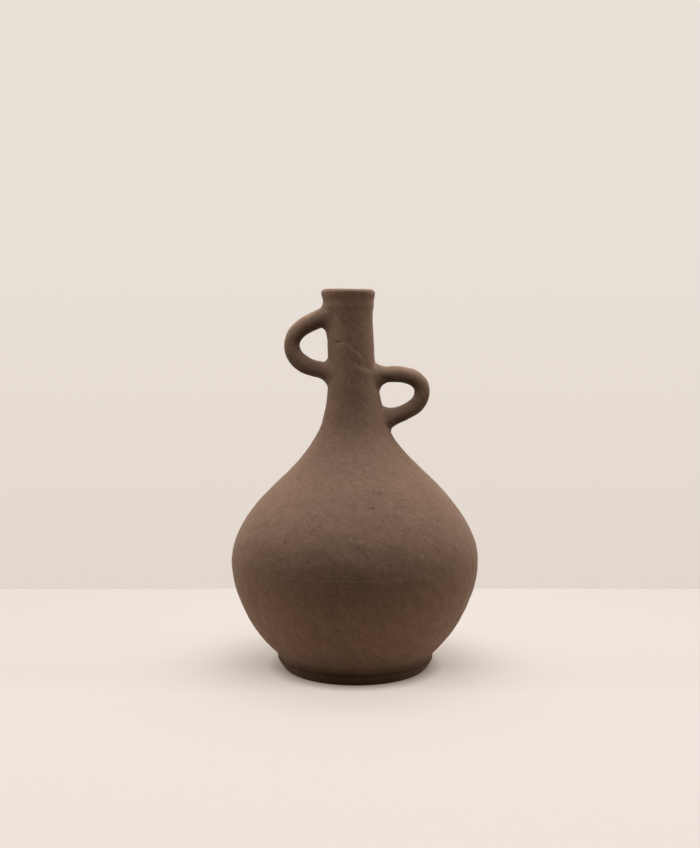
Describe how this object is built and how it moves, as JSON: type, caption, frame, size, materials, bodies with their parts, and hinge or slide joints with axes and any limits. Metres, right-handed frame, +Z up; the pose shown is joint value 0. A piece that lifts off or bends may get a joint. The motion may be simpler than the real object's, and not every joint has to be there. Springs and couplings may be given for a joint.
{
  "type": "handled vase",
  "caption": "Hand-built unglazed brown clay bottle vase with a round belly, a slim leaning neck, a flared lip and loop handles set at different heights; holds stems.",
  "frame": {"origin": "middle of the foot's flat underside, on the surface the vase stands on", "axes": "+Z up along the belly's axis; the handles lie in the plane y = 0, the high one towards -X and the low one towards +X"},
  "size_m": [0.209, 0.209, 0.32],
  "materials": {
    "foot_clay": "unglazed matt fired clay, dark brown",
    "bowl_clay": "unglazed matt fired clay, brown",
    "shoulder_clay": "unglazed matt fired clay, brown",
    "neck_clay": "unglazed matt fired clay, brown",
    "coil_clay": "unglazed matt fired clay, brown"
  },
  "bodies": {
    "root": {"foot_dish": "foot_clay", "lower_bowl": "bowl_clay", "shoulder": "shoulder_clay", "neck_collar": "neck_clay", "lip_coil": "neck_clay", "high_handle": "coil_clay", "high_handle_top_collar": "coil_clay", "high_handle_base_collar": "coil_clay", "low_handle": "coil_clay", "low_handle_top_collar": "coil_clay", "low_handle_base_collar": "coil_clay"}
  },
  "joints": []
}
